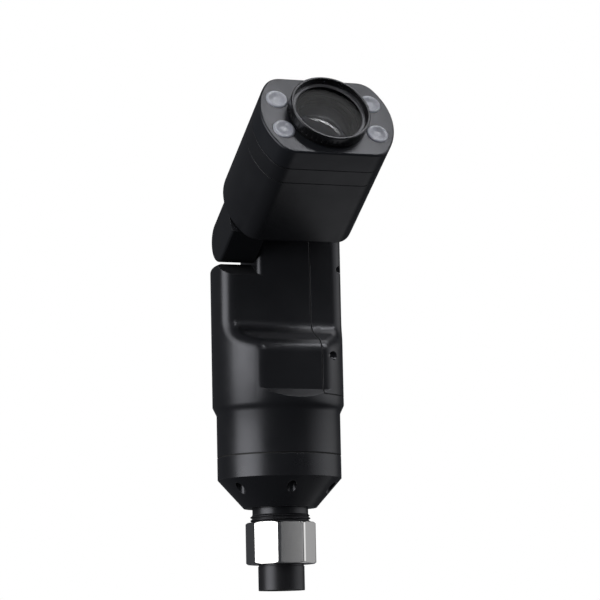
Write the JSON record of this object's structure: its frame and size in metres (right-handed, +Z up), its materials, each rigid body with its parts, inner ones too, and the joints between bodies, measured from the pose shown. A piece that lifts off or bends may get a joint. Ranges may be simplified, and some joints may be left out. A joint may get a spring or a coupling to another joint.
{
  "type": "inspection camera",
  "caption": "Tilting pole inspection camera: lit lens head on a side arm, geared hinge, round housing, end cap and octagonal union nut on a pole tube.",
  "frame": {"origin": "centre of the pole tube's cut lower end", "axes": "+Z up the pole and housing axis, the lens looks towards -Y and up, +X towards the side cover"},
  "size_m": [0.0826, 0.1544, 0.2964],
  "materials": {
    "black_anodised": "satin black anodised",
    "black_tube": "satin black anodised tube",
    "bright_nut": "polished",
    "plain_steel": "machined",
    "screw_steel": "stainless",
    "gear_brass": "machined",
    "bronze_bush": "sintered",
    "seal_rubber": "matt",
    "black_plastic": "moulded",
    "board_green": "solder mask",
    "chip_black": "moulded",
    "led_frost": "frosted clear",
    "led_chip": "phosphor",
    "lens_glass": "coated",
    "filter_black": "satin black anodised",
    "keeper_grey": "grey anodised",
    "inner_black": "anti-reflection black"
  },
  "bodies": {
    "housing": {"pole_tube": "black_tube", "pole_gasket": "seal_rubber", "threaded_stub": "black_anodised", "stub_lock_ring": "plain_steel", "connector_insert": "black_plastic", "contact_pins": "gear_brass", "end_cap": "black_anodised", "cap_gasket": "seal_rubber", "end_cap_screws": "screw_steel", "main_housing": "black_anodised", "side_cover": "black_anodised", "cover_gasket": "seal_rubber", "side_cover_screws": "screw_steel", "gear_plate": "plain_steel", "gear_plate_screws": "screw_steel", "motor_gearbox": "plain_steel", "gear_motor": "plain_steel", "idler_pins": "screw_steel", "shaft_bushes": "bronze_bush", "shaft_seal": "seal_rubber", "board_carrier": "black_plastic", "control_board": "board_green", "board_chips": "chip_black"},
    "head": {"tilt_gear": "plain_steel", "hinge_shaft": "plain_steel", "shaft_collar": "screw_steel", "hinge_arm": "black_anodised", "arm_screws": "screw_steel", "head_shell": "black_anodised", "middle_ring": "black_anodised", "head_seal_rear": "seal_rubber", "head_seal_front": "seal_rubber", "front_bezel": "black_anodised", "head_tie_screws": "screw_steel", "led_lens_1": "led_frost", "led_lens_2": "led_frost", "led_lens_3": "led_frost", "led_lens_4": "led_frost", "led_board": "board_green", "led_chips": "led_chip", "lens_barrel": "inner_black", "camera_block": "inner_black", "image_sensor": "chip_black", "sensor_board": "board_green", "board_spacers": "screw_steel", "front_lens_cell": "inner_black", "front_lens": "lens_glass"},
    "thrust_ring": {"nut_thrust_ring": "plain_steel"},
    "union_nut": {"union_nut": "bright_nut"},
    "upper_idler": {"idler_gear_upper": "gear_brass"},
    "lower_idler": {"idler_gear_lower": "gear_brass"},
    "pinion": {"drive_pinion": "plain_steel", "output_shaft": "plain_steel"},
    "focus_group": {"focus_lens_group": "inner_black", "focus_lens_glass": "lens_glass"},
    "zoom_group": {"zoom_lens_group": "inner_black", "zoom_lens_glass": "lens_glass"},
    "filter": {"filter_ring": "filter_black", "filter_glass": "lens_glass", "filter_retaining_ring": "keeper_grey"}
  },
  "joints": [
    {"name": "head_tilt", "type": "hinge", "parent": "housing", "child": "head", "pos_m": [0, -0.0072, 0.211], "axis": [-1, 0, 0], "range_deg": [-62, 60]},
    {"name": "upper_idler_turn", "type": "hinge", "parent": "housing", "child": "upper_idler", "pos_m": [0.0206, 0.003, 0.20327], "axis": [-1, 0, 0], "range_deg": [-36.1, 37.3]},
    {"name": "lower_idler_turn", "type": "hinge", "parent": "housing", "child": "lower_idler", "pos_m": [0.0206, 0.003, 0.18727], "axis": [-1, 0, 0], "range_deg": [-37.3, 36.1]},
    {"name": "pinion_turn", "type": "hinge", "parent": "housing", "child": "pinion", "pos_m": [0.0206, 0.003, 0.17527], "axis": [-1, 0, 0], "range_deg": [-72.1, 74.5]},
    {"name": "nut_travel", "type": "slide", "parent": "housing", "child": "thrust_ring", "axis": [0, 0, 1], "range_m": [-0.01, 0]},
    {"name": "nut_turn", "type": "hinge", "parent": "thrust_ring", "child": "union_nut", "pos_m": [0, 0, 0.028], "axis": [0, 0, 1], "range_deg": [-1800, 0]},
    {"name": "focus_slide", "type": "slide", "parent": "head", "child": "focus_group", "axis": [0, -0.866, 0.5], "range_m": [-0.002, 0.006]},
    {"name": "zoom_slide", "type": "slide", "parent": "head", "child": "zoom_group", "axis": [0, -0.866, 0.5], "range_m": [-0.0015, 0.006]},
    {"name": "filter_turn", "type": "hinge", "parent": "head", "child": "filter", "pos_m": [0, -0.09826, 0.27327], "axis": [0, -0.866, 0.5], "continuous": true}
  ],
  "couplings": [
    {"joint": "upper_idler_turn", "follows": "head_tilt", "ratio": -0.6},
    {"joint": "lower_idler_turn", "follows": "head_tilt", "ratio": 0.6},
    {"joint": "pinion_turn", "follows": "head_tilt", "ratio": -1.2},
    {"joint": "nut_travel", "follows": "nut_turn", "m_per_rad": 0.000318}
  ]
}
